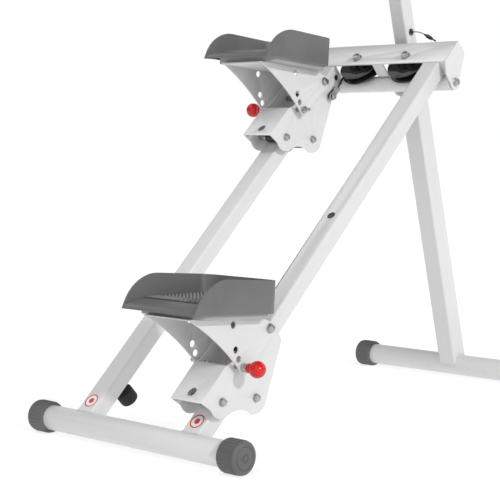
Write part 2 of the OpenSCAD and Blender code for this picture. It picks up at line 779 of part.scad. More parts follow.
front_base();
front_base_caps();
left_rail();
right_rail();
crossbeam();
beam_end_plates();
pulley_axles();
fold_bolts();
rail_sensor();
rail_plug();
rail_labels();
bumper();
bumper_stub();
cable_middle();
cable_left();
cable_right();
left_pulley();
right_pulley();
rear_base();
rear_base_caps();
post();
fold_tube();
fold_bracket();
open_stop();
mast_guide();
mast_knob();
mast();
lead_grommet();
sensor_lead();
lead_plug();
handlebar();
left_grip();
right_grip();
bar_plugs();
console_bracket();
console();
console_screen();
console_button();
left_housing();
right_housing();
left_axles();
right_axles();
left_cable_lug();
right_cable_lug();
left_lower_roller();
right_lower_roller();
left_upper_roller();
right_upper_roller();
left_rear_roller();
right_rear_roller();
left_bracket();
right_bracket();
left_pivot_bolts();
right_pivot_bolts();
left_tray();
right_tray();
left_tread();
right_tread();
left_pin();
right_pin();
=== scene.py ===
import json
import math

import bmesh
import bpy
from mathutils import Matrix, Vector


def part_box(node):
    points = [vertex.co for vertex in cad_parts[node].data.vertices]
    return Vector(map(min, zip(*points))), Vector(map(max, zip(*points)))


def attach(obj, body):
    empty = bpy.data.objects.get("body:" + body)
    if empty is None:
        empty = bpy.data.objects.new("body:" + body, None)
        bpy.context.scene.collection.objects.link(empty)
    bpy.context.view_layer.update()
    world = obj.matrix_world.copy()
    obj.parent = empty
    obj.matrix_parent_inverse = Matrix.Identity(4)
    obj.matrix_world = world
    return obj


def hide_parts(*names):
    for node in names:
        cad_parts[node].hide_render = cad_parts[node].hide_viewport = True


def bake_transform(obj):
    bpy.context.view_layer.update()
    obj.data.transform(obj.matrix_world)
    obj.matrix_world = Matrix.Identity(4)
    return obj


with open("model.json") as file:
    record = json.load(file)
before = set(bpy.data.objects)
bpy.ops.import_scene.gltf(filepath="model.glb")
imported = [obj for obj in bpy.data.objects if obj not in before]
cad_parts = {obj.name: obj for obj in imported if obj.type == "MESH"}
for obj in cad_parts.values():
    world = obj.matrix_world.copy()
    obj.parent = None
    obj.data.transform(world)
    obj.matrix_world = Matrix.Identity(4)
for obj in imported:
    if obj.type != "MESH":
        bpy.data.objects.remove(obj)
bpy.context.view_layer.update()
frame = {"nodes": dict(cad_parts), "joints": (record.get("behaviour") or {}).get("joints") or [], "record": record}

bl_info = {
    "name": "Vertical climber",
    "version": (1, 0, 0),
    "blender": (4, 5, 0),
    "location": "View3D > Sidebar > Climber",
    "description": "Finishes the folding vertical climber around its packed frame",
    "category": "Object",
}

JOINTS = {joint["name"]: joint for joint in frame["joints"]}
BODY_OF = {node: body for body, nodes in frame["record"]["behaviour"]["bodies"].items() for node in nodes}
ACROSS = Vector((1, 0, 0))
SLOPE = Vector(JOINTS["right_slide"]["axis"]).normalized()
OUT = ACROSS.cross(SLOPE)
POST_UP = Vector(JOINTS["mast_height"]["axis"]).normalized()
STROKE = JOINTS["right_slide"]["range_m"][1]
RAIL_X = 0.146
RAIL_HALF_W, RAIL_HALF_D = 0.0225, 0.018
BASE_TUBE_R = 0.025
TRAY_DROP = math.radians(4.5)
MAST_TOP = 1.29
MAST_HALF = 0.019
CONSOLE_STAND = (0, 0.024, 0.062)
CONSOLE_TILT = math.radians(52)


def middle(node):
    low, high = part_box(node)
    return (low + high) / 2


def axes(origin, x, y, z):
    """The matrix of a frame with these unit axes."""
    m = Matrix((x, y, z)).transposed().to_4x4()
    m.translation = origin
    return m


BASE = middle("front_base")
BASE.x = 0
REAR = middle("rear_base")
REAR.x = 0
ON_RAILS = axes(BASE, ACROSS, SLOPE, OUT)
ON_POST = axes(REAR, ACROSS, POST_UP.cross(ACROSS), POST_UP)
ON_BAR = Matrix.Translation(REAR + POST_UP * MAST_TOP)
ON_CONSOLE = ON_BAR @ Matrix.Translation(CONSOLE_STAND) @ Matrix.Rotation(CONSOLE_TILT, 4, "X")


def on_rail(side):
    return ON_RAILS @ Matrix.Translation((side * RAIL_X, 0, 0))


def on_pedal(side):
    """Pedal frame of one side, x outwards: the left one is mirrored."""
    pivot = Vector(JOINTS["right_tilt" if side > 0 else "left_tilt"]["pos_m"])
    toe = Vector((0, math.cos(TRAY_DROP), -math.sin(TRAY_DROP)))
    up = Vector((0, math.sin(TRAY_DROP), math.cos(TRAY_DROP)))
    return axes(pivot, ACROSS * side, toe, up)


# ---------------------------------------------------------------- sizes and colours

class ClimberSizes(bpy.types.PropertyGroup):
    """Sizes of the finishing work."""
    edge_round: bpy.props.FloatProperty(
        name="Edge round", description="Rounding of cut and folded steel edges", default=0.0009, unit="LENGTH")
    moulding_round: bpy.props.FloatProperty(
        name="Moulding round", description="Rounding of moulded plastic edges", default=0.0014, unit="LENGTH")
    cap_ribs: bpy.props.IntProperty(
        name="Cap ribs", description="Ribs round each base end cap", default=30, min=12, max=60)
    weld_pitch: bpy.props.FloatProperty(
        name="Weld pitch", description="Distance between the ripples of a weld bead", default=0.0022, unit="LENGTH")
    weld_width: bpy.props.FloatProperty(
        name="Weld width", description="Width of a weld bead", default=0.0052, unit="LENGTH")
    tread_ribs: bpy.props.IntProperty(
        name="Tread ribs", description="Ribs across the outer half of each tread", default=4, min=2, max=12)
    tread_dot: bpy.props.FloatProperty(
        name="Tread dot", description="Radius of the grip studs on a tread", default=0.0021, unit="LENGTH")
    grip_rings: bpy.props.IntProperty(
        name="Grip rings", description="Rings along each hand grip", default=22, min=4, max=40)


class ClimberColours(bpy.types.PropertyGroup):
    """Colours of the finishes."""
    paint: bpy.props.FloatVectorProperty(
        name="Powder coat", description="Frame colour", subtype="COLOR", size=3, default=(0.635, 0.635, 0.637))
    plastic: bpy.props.FloatVectorProperty(
        name="Tray plastic", description="Pedal tray colour", subtype="COLOR", size=3, default=(0.122, 0.122, 0.124))
    caps: bpy.props.FloatVectorProperty(
        name="Cap plastic", description="Base cap colour", subtype="COLOR", size=3, default=(0.100, 0.101, 0.104))
    black: bpy.props.FloatVectorProperty(
        name="Black plastic", description="Pulley and fitting colour", subtype="COLOR", size=3,
        default=(0.012, 0.012, 0.013))
    knob: bpy.props.FloatVectorProperty(
        name="Knob red", description="Pull knob colour", subtype="COLOR", size=3, default=(0.58, 0.002, 0.003))
    zinc: bpy.props.FloatVectorProperty(
        name="Zinc", description="Bolt plating colour", subtype="COLOR", size=3, default=(0.42, 0.43, 0.445))


def sizes():
    return bpy.context.scene.climber_sizes


def colours():
    return bpy.context.scene.climber_colours


# ---------------------------------------------------------------- shader sums

class Value:
    """A socket of a material's tree that takes part in ordinary sums."""

    def __init__(self, finish, socket):
        self.finish = finish
        self.socket = socket

    def _sum(self, operation, first, second):
        return self.finish.node("ShaderNodeMath", {"operation": operation}, {0: first, 1: second})

    def __add__(self, other):
        return self._sum("ADD", self, other)

    __radd__ = __add__

    def __sub__(self, other):
        return self._sum("SUBTRACT", self, other)

    def __rsub__(self, other):
        return self._sum("SUBTRACT", other, self)

    def __mul__(self, other):
        return self._sum("MULTIPLY", self, other)

    __rmul__ = __mul__

    def between(self, low, high):
        """Rises smoothly from 0 to 1 as the value goes from low to high."""
        return self.finish.node("ShaderNodeMapRange", {"interpolation_type": "SMOOTHSTEP"}, {
            "Value": self, "From Min": low, "From Max": high, "To Min": 0.0, "To Max": 1.0})


class Finish:
    """One material and the nodes in it."""

    def __init__(self, name):
        self.material = bpy.data.materials.new(name)
        self.material.use_nodes = True
        self.tree = self.material.node_tree
        self.shader = self.tree.nodes["Principled BSDF"]
        self.place = self.node("ShaderNodeTexCoord", {}, {}, "Object")

    def node(self, kind, settings, inputs, output=0):
        made = self.tree.nodes.new(kind)
        for name, value in settings.items():
            setattr(made, name, value)
        self.fill(made, inputs)
        return Value(self, made.outputs[output])

    def fill(self, made, inputs):
        for name, value in inputs.items():
            socket = made.inputs[name]
            if isinstance(value, Value):
                self.tree.links.new(value.socket, socket)
            else:
                socket.default_value = value

    def noise(self, scale, detail, rough=0.5):
        return self.node("ShaderNodeTexNoise", {}, {
            "Vector": self.place, "Scale": scale, "Detail": detail, "Roughness": rough})

    def cells(self, scale):
        return self.node("ShaderNodeTexVoronoi", {}, {"Vector": self.place, "Scale": scale})

    def mix(self, share, first, second):
        return self.node("ShaderNodeMix", {"data_type": "RGBA"}, {0: share, 6: first, 7: second}, 2)

    def bump(self, height, distance, strength):
        return self.node("ShaderNodeBump", {}, {"Height": height, "Distance": distance, "Strength": strength})

    def surface(self, **inputs):
        """Fills the shader's sockets, named with underscores, and gives the material."""
        self.fill(self.shader, {name.replace("_", " "): value for name, value in inputs.items()})
        return self.material


def shade(colour, gain=1.0):
    return (colour[0] * gain, colour[1] * gain, colour[2] * gain, 1.0)


def powder_coat():
    """White powder coat: a fine orange peel, a slow change of gloss and faint handling marks."""
    f = Finish("Powder coat")
    peel = f.noise(430, 2.0)
    grain = f.noise(2300, 1.0)
    cloud = f.noise(5, 2.0)
    marks = f.noise(60, 5.0, 0.7).between(0.62, 0.75)
    base = f.mix(cloud.between(0.35, 0.65), shade(colours().paint, 0.985), shade(colours().paint, 1.01))
    return f.surface(
        Base_Color=f.mix(marks * 0.12, base, shade(colours().paint, 0.90)),
        Roughness=0.36 + cloud * 0.08 + marks * 0.10,
        Normal=f.bump(peel * 0.8 + grain * 0.2, 0.00022, 0.5),
        Coat_Weight=0.25, Coat_Roughness=0.18, IOR=1.5)


def weld_paint():
    """The same coat over weld ripples, a little duller."""
    f = Finish("Coated weld")
    spatter = f.noise(900, 3.0)
    return f.surface(
        Base_Color=f.mix(spatter.between(0.4, 0.7), shade(colours().paint, 0.90), shade(colours().paint, 0.99)),
        Roughness=0.42 + spatter * 0.12, Normal=f.bump(spatter, 0.0003, 0.6), Coat_Weight=0.2)


def bright_zinc():
    """Zinc plate: fine brushed streaks, patches of warmer passivate and small dull spots."""
    f = Finish("Bright zinc")
    patch = f.noise(70, 3.0)
    streak = f.noise(1500, 2.0)
    spots = f.noise(420, 4.0, 0.65).between(0.62, 0.74)
    tone = f.mix(patch.between(0.35, 0.65), shade(colours().zinc), (0.45, 0.44, 0.42, 1))
    return f.surface(
        Base_Color=f.mix(spots * 0.5, tone, shade(colours().zinc, 0.55)),
        Metallic=1.0, Roughness=0.14 + patch * 0.08 + spots * 0.20,
        Normal=f.bump(streak, 0.00008, 0.6))


def grained(name, colour, scale, rough, depth, wear):
    """Moulded plastic with a spark-eroded grain, slow gloss changes and paler scuffs."""
    f = Finish(name)
    grain = f.cells(scale)
    fine = f.noise(scale * 1.7, 2.0)
    cloud = f.noise(14, 3.0)
    scuff = f.noise(45, 6.0, 0.75).between(0.60, 0.72)
    base = f.mix(cloud.between(0.3, 0.7), shade(colour, 0.93), shade(colour, 1.07))
    return f.surface(
        Base_Color=f.mix(scuff * wear, base, shade(colour, 1.7)),
        Roughness=rough + cloud * 0.08 - scuff * 0.06,
        Normal=f.bump(grain * 0.7 + fine * 0.3, depth, 0.7))


def glossy(name, colour, rough, coat=0.4):
    """Smooth injection moulding with faint flow marks and hairline scratches."""
    f = Finish(name)
    flow = f.noise(26, 3.0)
    hair = f.noise(240, 6.0, 0.8).between(0.60, 0.70)
    return f.surface(
        Base_Color=f.mix(flow.between(0.3, 0.7), shade(colour, 0.94), shade(colour, 1.06)),
        Roughness=rough + flow * 0.05 + hair * 0.10,
        Normal=f.bump(flow, 0.00015, 0.25), Coat_Weight=coat, Coat_Roughness=0.08)


def rubber(name, colour):
    """Rubber: matt, faintly mottled, with fine pores and a grey bloom."""
    f = Finish(name)
    pores = f.cells(1300)
    bloom = f.noise(30, 4.0).between(0.45, 0.75)
    return f.surface(
        Base_Color=f.mix(bloom * 0.35, shade(colour), shade(colour, 1.9)),
        Roughness=0.68 + bloom * 0.16, Normal=f.bump(pores, 0.00018, 0.6), Specular_IOR_Level=0.35)


def rope_jacket():
    """Black jacket over a twisted steel rope: the strands show through as slanted ridges."""
    f = Finish("Rope jacket")
    strands, turns_per_metre = 6.0, 90.0
    where = f.node("ShaderNodeUVMap", {"uv_map": "Run"}, {})
    turn = f.node("ShaderNodeSeparateXYZ", {}, {"Vector": where})
    along = Value(f, turn.socket.node.outputs[1])
    ridge = (turn * strands + along * turns_per_metre) * math.tau
    strand = f.node("ShaderNodeMath", {"operation": "SINE"}, {0: ridge})
    dirt = f.noise(120, 3.0)
    return f.surface(
        Base_Color=f.mix(dirt.between(0.4, 0.7), (0.010, 0.010, 0.011, 1), (0.030, 0.030, 0.032, 1)),
        Roughness=0.30 + dirt * 0.12, Normal=f.bump(strand, 0.0003, 0.6), Coat_Weight=0.3)


def printed(name, colour):
    """Printed film: even colour with the faint tooth of vinyl."""
    f = Finish(name)
    tooth = f.noise(1400, 2.0)
    fade = f.noise(80, 2.0)
    return f.surface(
        Base_Color=f.mix(fade, shade(colour, 0.97), shade(colour, 1.02)),
        Roughness=0.38 + tooth * 0.08, Normal=f.bump(tooth, 0.00006, 0.4))


def display_glass():
    """Dark display window with a faint green grey field."""
    f = Finish("Display window")
    smear = f.noise(18, 4.0)
    return f.surface(
        Base_Color=f.mix(smear, (0.105, 0.125, 0.112, 1), (0.125, 0.145, 0.130, 1)),
        Roughness=0.10 + smear.between(0.4, 0.7) * 0.12, Normal=f.bump(smear, 0.0001, 0.2), Coat_Weight=1.0,
        Coat_Roughness=0.03)


FINISHES = {}


def finish(name):
    """The named finish, made the first time it is asked for."""
    plastic = colours().plastic
    makers = {
        "paint": powder_coat, "weld": weld_paint, "zinc": bright_zinc, "rope": rope_jacket, "glass": display_glass,
        "tray": lambda: grained("Tray plastic", plastic, 900, 0.40, 0.00028, 0.20),
        "lip": lambda: grained("Tray lip plastic", shade(plastic, 2.7), 900, 0.48, 0.00028, 0.15),
        "tread": lambda: grained("Tread rubber", shade(plastic, 0.75), 1100, 0.56, 0.0003, 0.35),
        "rib": lambda: grained("Tread ribs", shade(plastic, 1.7), 1100, 0.45, 0.0002, 0.20),
        "cap": lambda: grained("Cap plastic", colours().caps, 700, 0.50, 0.00035, 0.25),
        "black": lambda: glossy("Black moulding", colours().black, 0.24),
        "nylon": lambda: grained("Roller nylon", colours().black, 1400, 0.38, 0.00015, 0.30),
        "red": lambda: glossy("Red knob", colours().knob, 0.16, 0.1),
        "shell": lambda: grained("Console shell", (0.035, 0.036, 0.040), 1000, 0.44, 0.0002, 0.10),
        "bumper": lambda: rubber("Bumper rubber", (0.018, 0.018, 0.018)),
        "grip": lambda: rubber("Grip rubber", (0.020, 0.020, 0.021)),
        "label_white": lambda: printed("Label white", (0.78, 0.77, 0.76)),
        "label_red": lambda: printed("Label red", (0.55, 0.035, 0.025)),
        "digit": lambda: printed("Display digit", (0.012, 0.016, 0.014)),
    }
    if name not in FINISHES:
        FINISHES[name] = makers[name]()
    return FINISHES[name]


# ---------------------------------------------------------------- mesh helpers

def coat(obj, name):
    """Gives a piece one finish."""
    obj.data.materials.clear()
    obj.data.materials.append(finish(name))
    return obj


def stand_in(obj, node):
    """Puts a finished piece on its body in the place of a CAD solid."""
    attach(obj, BODY_OF[node])
    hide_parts(node)
    return obj


def piece(name, mesh):
    obj = bpy.data.objects.new(name, mesh)
    bpy.context.scene.collection.objects.link(obj)
    return obj


def from_bmesh(name, bm, matrix):
    """A mesh piece, in place, with its faces pointing outwards."""
    bm.transform(matrix)
    bmesh.ops.recalc_face_normals(bm, faces=bm.faces)
    mesh = bpy.data.meshes.new(name)
    bm.to_mesh(mesh)
    bm.free()
    return piece(name, mesh)


def smooth(obj, degrees=32):
    """Smooth shading that breaks at real edges."""
    mesh = obj.data
    mesh.polygons.foreach_set("use_smooth", [True] * len(mesh.polygons))
    bm = bmesh.new()
    bm.from_mesh(mesh)
    for edge in bm.edges:
        edge.smooth = len(edge.link_faces) == 2 and edge.calc_face_angle(0) < math.radians(degrees)
    bm.to_mesh(mesh)
    bm.free()
    return obj


def bake_modifiers(obj):
    """Replaces the mesh by its evaluated one and drops the modifiers."""
    graph = bpy.context.evaluated_depsgraph_get()
    mesh = bpy.data.meshes.new_from_object(obj.evaluated_get(graph), preserve_all_data_layers=True, depsgraph=graph)
    obj.modifiers.clear()
    obj.data = mesh
    return obj


def rounded_copy(node, name, width, segments=2):
    """A copy of a CAD solid whose edges are broken by a small round."""
    bm = bmesh.new()
    bm.from_mesh(frame["nodes"][node].data)
    bmesh.ops.remove_doubles(bm, verts=bm.verts, dist=1e-6)
    bmesh.ops.dissolve_limit(bm, angle_limit=math.radians(0.4), verts=bm.verts, edges=bm.edges)
    mesh = bpy.data.meshes.new(name)
    bm.to_mesh(mesh)
    bm.free()
    obj = piece(name, mesh)
    for polygon in obj.data.polygons:
        polygon.use_smooth = True
    bevel = obj.modifiers.new("Round", "BEVEL")
    bevel.width = width
    bevel.segments = segments
    bevel.limit_method = "ANGLE"
    bevel.angle_limit = math.radians(35)
    bevel.harden_normals = True
    bevel.use_clamp_overlap = True
    return bake_modifiers(obj)


PIECE_NAMES = {
    "front_base": "Front_base_tube", "rear_base": "Rear_base_tube", "post": "Rear_post",
    "left_housing": "Left_carriage", "right_housing": "Right_carriage",
    "left_bracket": "Left_pedal_bracket", "right_bracket": "Right_pedal_bracket",
    "left_axles": "Left_roller_axles", "right_axles": "Right_roller_axles",
}


def dress(node, finish_name, width, segments=2):
    """Stands a rounded copy in for a CAD solid."""
    name = PIECE_NAMES.get(node, node.capitalize())
    return stand_in(coat(rounded_copy(node, name, width, segments), finish_name), node)


def lathe(profile, steps=64):
    """A closed turned shape about Z from (radius, height) points."""
    bm = bmesh.new()
    rings = []
    for radius, height in profile:
        if radius < 1e-9:
            rings.append([bm.verts.new((0, 0, height))])
        else:
            rings.append([bm.verts.new((radius * math.cos(math.tau * k / steps),
                                        radius * math.sin(math.tau * k / steps), height)) for k in range(steps)])
    for low, high in zip(rings, rings[1:]):
        for k in range(steps):
            a, b = low[k % len(low)], low[(k + 1) % len(low)]
            c, d = high[(k + 1) % len(high)], high[k % len(high)]
            corners = [v for i, v in enumerate((a, b, c, d)) if v not in (a, b, c, d)[:i]]
            if len(corners) > 2:
                bm.faces.new(corners)
    return bm


def arc(centre_r, centre_h, radius, start, end, steps=6):
    """Profile points on an arc, angles in degrees from the outward direction."""
    return [(centre_r + radius * math.cos(math.radians(start + (end - start) * k / steps)),
             centre_h + radius * math.sin(math.radians(start + (end - start) * k / steps)))
            for k in range(steps + 1)]


def turned(name, finish_name, profile, matrix, steps=64):
    """A turned piece in place, with its finish."""
    return coat(smooth(from_bmesh(name, lathe(profile, steps), matrix)), finish_name)


def joined(name, objects):
    """One mesh from several pieces that ride together."""
    bm = bmesh.new()
    materials = []
    for obj in objects:
        start = len(bm.faces)
        bm.from_mesh(obj.data)
        bm.faces.ensure_lookup_table()
        index = {}
        for k, material in enumerate(obj.data.materials):
            if material not in materials:
                materials.append(material)
            index[k] = materials.index(material)
        for face in bm.faces[start:]:
            face.material_index = index.get(face.material_index, 0)
        bpy.data.objects.remove(obj)
    mesh = bpy.data.meshes.new(name)
    for material in materials:
        mesh.materials.append(material)
    bm.to_mesh(mesh)
    bm.free()
    return piece(name, mesh)


# ---------------------------------------------------------------- geometry nodes

class Tree:
    """A geometry node tree with named inputs."""

    def __init__(self, name, inputs):
        self.group = bpy.data.node_groups.new(name, "GeometryNodeTree")
        face = self.group.interface
        face.new_socket("Geometry", in_out="INPUT", socket_type="NodeSocketGeometry")
        for label, kind, value in inputs:
            made = face.new_socket(label, in_out="INPUT", socket_type="NodeSocket" + kind)
            if value is not None:
                made.default_value = value
        face.new_socket("Geometry", in_out="OUTPUT", socket_type="NodeSocketGeometry")
        self.enter = self.group.nodes.new("NodeGroupInput")
        self.leave = self.group.nodes.new("NodeGroupOutput")

    def node(self, kind, settings=None, **inputs):
        """Adds a node; an input goes by its name, or by _ and its number."""
        made = self.group.nodes.new(kind)
        for key, value in (settings or {}).items():
            setattr(made, key, value)
        for key, value in inputs.items():
            socket = made.inputs[int(key[1:]) if key[0] == "_" else key.replace("_", " ")]
            if isinstance(value, bpy.types.NodeSocket):
                self.group.links.new(value, socket)
            else:
                socket.default_value = value
        return made

    def given(self, label):
        return self.enter.outputs[label]

    def close(self, geometry):
        real = self.node("GeometryNodeRealizeInstances", Geometry=geometry)
        coated = self.node("GeometryNodeSetMaterial", Geometry=real.outputs[0], Material=self.given("Finish"))
        self.group.links.new(coated.outputs[0], self.leave.inputs[0])
        return self.group


def grow(name, tree_name, finish_name, matrix, angle, source=None, **values):
    """Runs a tree on a source mesh and leaves a plain smooth mesh in place."""
    group = tree(tree_name)
    values["Finish"] = finish(finish_name)
    obj = piece(name, source or bpy.data.meshes.new(name))
    modifier = obj.modifiers.new("Repeat", "NODES")
    modifier.node_group = group
    for item in group.interface.items_tree:
        label = item.name.replace(" ", "_")
        if item.in_out == "INPUT" and label in values:
            modifier[item.identifier] = values[label]
    bake_modifiers(obj)
    obj.data.transform(matrix)
    return smooth(obj, angle)


def bead_tree():
    """Overlapping ripples along a path, as a weld run leaves them."""
    t = Tree("Weld bead", [("Pitch", "Float", 0.002), ("Width", "Float", 0.005), ("Height", "Float", 0.6),
                           ("Finish", "Material", None), ("Seed", "Int", 7)])
    curve = t.node("GeometryNodeMeshToCurve", Mesh=t.given("Geometry"))
    points = t.node("GeometryNodeCurveToPoints", {"mode": "LENGTH"}, Curve=curve.outputs[0], Length=t.given("Pitch"))
    ripple = t.node("GeometryNodeMeshUVSphere", Segments=10, Rings=6, Radius=0.5)
    jitter = t.node("FunctionNodeRandomValue", {"data_type": "FLOAT"}, _2=0.88, _3=1.12, Seed=t.given("Seed"))
    wide = t.node("ShaderNodeMath", {"operation": "MULTIPLY"}, _0=jitter.outputs[1], _1=t.given("Width"))
    tall = t.node("ShaderNodeMath", {"operation": "MULTIPLY"}, _0=wide.outputs[0], _1=t.given("Height"))
    size = t.node("ShaderNodeCombineXYZ", X=wide.outputs[0], Y=tall.outputs[0], Z=tall.outputs[0])
    spread = t.node("GeometryNodeInstanceOnPoints", Points=points.outputs["Points"], Instance=ripple.outputs[0],
                    Rotation=points.outputs["Rotation"], Scale=size.outputs[0])
    return t.close(spread.outputs[0])


def ring_tree():
    """Bars standing round a ring: knob lobes, cap ribs, collar knurls."""
    t = Tree("Ring of bars", [("Count", "Int", 24), ("Radius", "Float", 0.03),
                              ("Bar", "Vector", (0.002, 0.002, 0.03)), ("Finish", "Material", None)])
    ring = t.node("GeometryNodeMeshCircle", Vertices=t.given("Count"), Radius=t.given("Radius"))
    bar = t.node("GeometryNodeMeshCylinder", {"fill_type": "NGON"}, Vertices=10, Side_Segments=1, Radius=0.5,
                 Depth=1.0)
    place = t.node("GeometryNodeInputPosition")
    turn = t.node("FunctionNodeAlignRotationToVector", {"axis": "X"}, Vector=place.outputs[0])
    spread = t.node("GeometryNodeInstanceOnPoints", Points=ring.outputs[0], Instance=bar.outputs[0],
                    Rotation=turn.outputs[0], Scale=t.given("Bar"))
    return t.close(spread.outputs[0])


def row_tree():
    """Rounded bars side by side: the ribs of a tread."""
    t = Tree("Row of ribs", [("Count", "Int", 8), ("Step", "Vector", (0, 0.006, 0)),
                             ("Rib", "Vector", (0.14, 0.003, 0.0016)), ("Finish", "Material", None)])
    row = t.node("GeometryNodeMeshLine", Count=t.given("Count"), Offset=t.given("Step"))
    rib = t.node("GeometryNodeMeshCylinder", {"fill_type": "NGON"}, Vertices=12, Side_Segments=1, Radius=0.5,
                 Depth=1.0)
    flat = t.node("GeometryNodeTransform", Geometry=rib.outputs[0], Rotation=(0.0, math.pi / 2, 0.0))
    spread = t.node("GeometryNodeInstanceOnPoints", Points=row.outputs[0], Instance=flat.outputs[0],
                    Scale=t.given("Rib"))
    return t.close(spread.outputs[0])


def stud_tree():
    """A field of low domed studs: the grip pattern under the forefoot."""
    t = Tree("Field of studs", [("Wide", "Float", 0.14), ("Long", "Float", 0.1), ("Columns", "Int", 14),
                                ("Rows", "Int", 9), ("Radius", "Float", 0.002), ("Rise", "Float", 0.5),
                                ("Finish", "Material", None)])
    field = t.node("GeometryNodeMeshGrid", Size_X=t.given("Wide"), Size_Y=t.given("Long"),
                   Vertices_X=t.given("Columns"), Vertices_Y=t.given("Rows"))
    stud = t.node("GeometryNodeMeshUVSphere", Segments=10, Rings=6, Radius=1.0)
    low = t.node("ShaderNodeMath", {"operation": "MULTIPLY"}, _0=t.given("Radius"), _1=t.given("Rise"))
    size = t.node("ShaderNodeCombineXYZ", X=t.given("Radius"), Y=t.given("Radius"), Z=low.outputs[0])
    spread = t.node("GeometryNodeInstanceOnPoints", Points=field.outputs[0], Instance=stud.outputs[0],
                    Scale=size.outputs[0])
    return t.close(spread.outputs[0])


def hoop_tree():
    """Round hoops spaced along Z: the rings of a hand grip."""
    t = Tree("Stack of hoops", [("Count", "Int", 20), ("Pitch", "Float", 0.006), ("Radius", "Float", 0.017),
                                ("Thick", "Float", 0.0012), ("Finish", "Material", None)])
    step = t.node("ShaderNodeCombineXYZ", Z=t.given("Pitch"))
    row = t.node("GeometryNodeMeshLine", Count=t.given("Count"), Offset=step.outputs[0])
    hoop = t.node("GeometryNodeCurvePrimitiveCircle", {"mode": "RADIUS"}, Resolution=48, Radius=t.given("Radius"))
    wire = t.node("GeometryNodeCurvePrimitiveCircle", {"mode": "RADIUS"}, Resolution=8, Radius=t.given("Thick"))
    skin = t.node("GeometryNodeCurveToMesh", Curve=hoop.outputs[0], Profile_Curve=wire.outputs[0])
    spread = t.node("GeometryNodeInstanceOnPoints", Points=row.outputs[0], Instance=skin.outputs[0])
    return t.close(spread.outputs[0])


TREES = {}


def tree(name):
    makers = {"bead": bead_tree, "ring": ring_tree, "row": row_tree, "studs": stud_tree, "hoops": hoop_tree}
    if name not in TREES:
        TREES[name] = makers[name]()
    return TREES[name]


def bead(name, points, body, width=1.0):
    """A closed weld run through points given in the row frame."""
    path = bpy.data.meshes.new("Path")
    edges = [(k, k + 1) for k in range(len(points) - 1)] + [(len(points) - 1, 0)]
    path.from_pydata([tuple(p) for p in points], edges, [])
    obj = grow(name, "bead", "weld", Matrix.Identity(4), 60, path, Pitch=sizes().weld_pitch,
               Width=sizes().weld_width * width, Height=0.62, Seed=7)
    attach(obj, body)


# ---------------------------------------------------------------- operators

FLOOR_HALF, FLOOR_Z = 40.0, -0.0004
PANELS = {"From Min": 0.40, "From Max": 0.56, "To Min": 0.22, "To Max": 1.08}
LAMPS = (("Key", (0.894, -0.12, 0.43), 4.0, 1.40), ("Fill", (-0.1, -0.5, 0.86), 25.0, 0.65))
FOCAL_LENGTH, SENSOR = 98.6, 36
CAMERA_PLACE = (1.882, -2.2794, 0.604)
CAMERA_DOWN, CAMERA_ROUND = 4.34, 42.04
CAMERA_SHIFT = (0.0018, -0.0264)


def lay_floor():
    """A wide pale floor that glows enough to meet the background without an edge."""
    mesh = bpy.data.meshes.new("Floor")
    corners = [(x * FLOOR_HALF, y * FLOOR_HALF, FLOOR_Z) for x, y in ((-1, -1), (1, -1), (1, 1), (-1, 1))]
    mesh.from_pydata(corners, [], [(0, 1, 2, 3)])
    f = Finish("Studio floor")
    grain = f.noise(3, 2.0)
    mesh.materials.append(f.surface(
        Base_Color=f.mix(grain, (0.33, 0.33, 0.33, 1), (0.35, 0.35, 0.35, 1)), Roughness=0.9,
        Specular_IOR_Level=0.0, Emission_Color=(1, 1, 1, 1), Emission_Strength=0.74))
    piece("Floor", mesh)


def light_world():
    """White to the camera; soft bright and dark panels to everything that reflects."""
    world = bpy.data.worlds.new("Studio")
    world.use_nodes = True
    nodes, links = world.node_tree.nodes, world.node_tree.links
    place = nodes.new("ShaderNodeTexCoord")
    cloud = nodes.new("ShaderNodeTexNoise")
    cloud.inputs["Scale"].default_value = 1.6
    cloud.inputs["Detail"].default_value = 1.0
    links.new(place.outputs["Generated"], cloud.inputs["Vector"])
    panels = nodes.new("ShaderNodeMapRange")
    panels.interpolation_type = "SMOOTHSTEP"
    for label, value in PANELS.items():
        panels.inputs[label].default_value = value
    links.new(cloud.outputs[0], panels.inputs["Value"])
    seen = nodes.new("ShaderNodeLightPath")
    level = nodes.new("ShaderNodeMapRange")
    level.inputs["To Max"].default_value = 1.0
    links.new(panels.outputs[0], level.inputs["To Min"])
    links.new(seen.outputs["Is Camera Ray"], level.inputs["Value"])
    links.new(level.outputs[0], nodes["Background"].inputs["Strength"])
    nodes["Background"].inputs["Color"].default_value = (1, 1, 1, 1)
    bpy.context.scene.world = world


def hang_lamp(name, towards, spread, power):
    """A distant lamp: where it stands, its angular size in degrees and its power."""
    lamp = bpy.data.lights.new(name, "SUN")
    lamp.angle = math.radians(spread)
    lamp.energy = power
    holder = bpy.data.objects.new(name, lamp)
    holder.rotation_euler = Vector(towards).to_track_quat("Z", "Y").to_euler()
    bpy.context.scene.collection.objects.link(holder)


def stand_camera():
    """A long lens, tipped down and turned by angles in degrees."""
    lens = bpy.data.cameras.new("Camera")
    lens.sensor_width = SENSOR
    lens.lens = FOCAL_LENGTH
    lens.shift_x, lens.shift_y = CAMERA_SHIFT
    lens.clip_end = 200
    holder = bpy.data.objects.new("Camera", lens)
    holder.location = CAMERA_PLACE
    holder.rotation_euler = (math.radians(90 - CAMERA_DOWN), 0, math.radians(CAMERA_ROUND))
    scene = bpy.context.scene
    scene.collection.objects.link(holder)
    scene.camera = holder
    scene.view_settings.view_transform = "Standard"
    scene.view_settings.look = "None"


class CLIMBER_OT_stage(bpy.types.Operator):
    """Lay the floor, hang the lights and stand the camera"""
    bl_idname = "climber.stage"
    bl_label = "Stage"

    def execute(self, context):
        lay_floor()
        light_world()
        for lamp in LAMPS:
            hang_lamp(*lamp)
        stand_camera()
        return {"FINISHED"}


